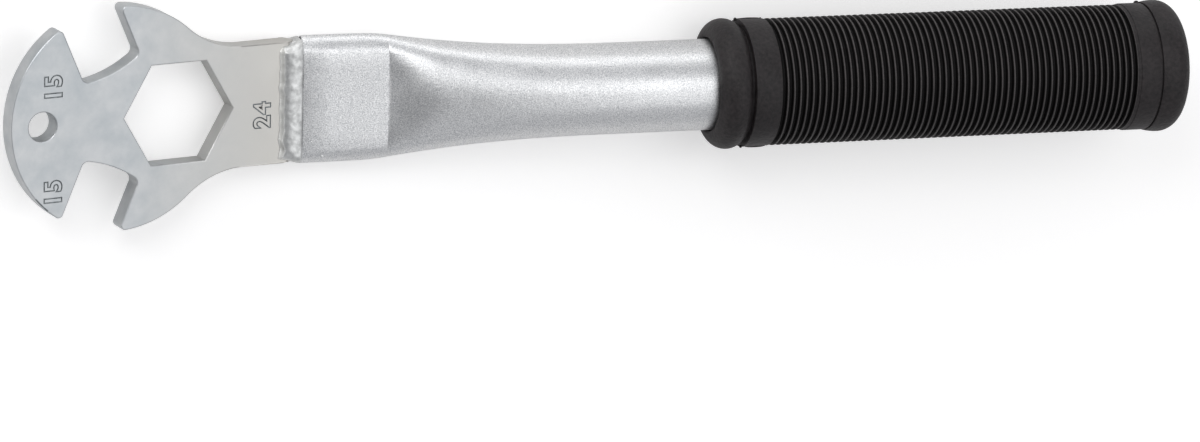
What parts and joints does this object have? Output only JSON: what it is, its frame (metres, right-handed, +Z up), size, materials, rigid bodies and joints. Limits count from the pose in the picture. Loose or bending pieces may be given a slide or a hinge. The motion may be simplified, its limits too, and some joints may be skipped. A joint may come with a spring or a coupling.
{
  "type": "pedal wrench",
  "caption": "Bicycle pedal wrench: stamped steel head with a closed hexagon and open jaws, welded to a flattened tube handle with a ribbed rubber grip.",
  "frame": {"origin": "centre of the bounding box, on the ground that the wrench lies on", "axes": "+X from the head towards the grip, +Y across the handle in the plane of the jaws, +Z up"},
  "size_m": [0.2948, 0.054, 0.0416],
  "materials": {
    "head_steel": "satin zinc-plated steel",
    "weld_steel": "plated weld metal, slightly uneven",
    "tube_steel": "fine-grained satin plated steel",
    "grip_rubber": "matte moulded rubber with fine ribs"
  },
  "bodies": {
    "root": {"head_plate": "head_steel", "weld_bead": "weld_steel", "handle_tube": "tube_steel", "rubber_grip": "grip_rubber"}
  },
  "joints": []
}
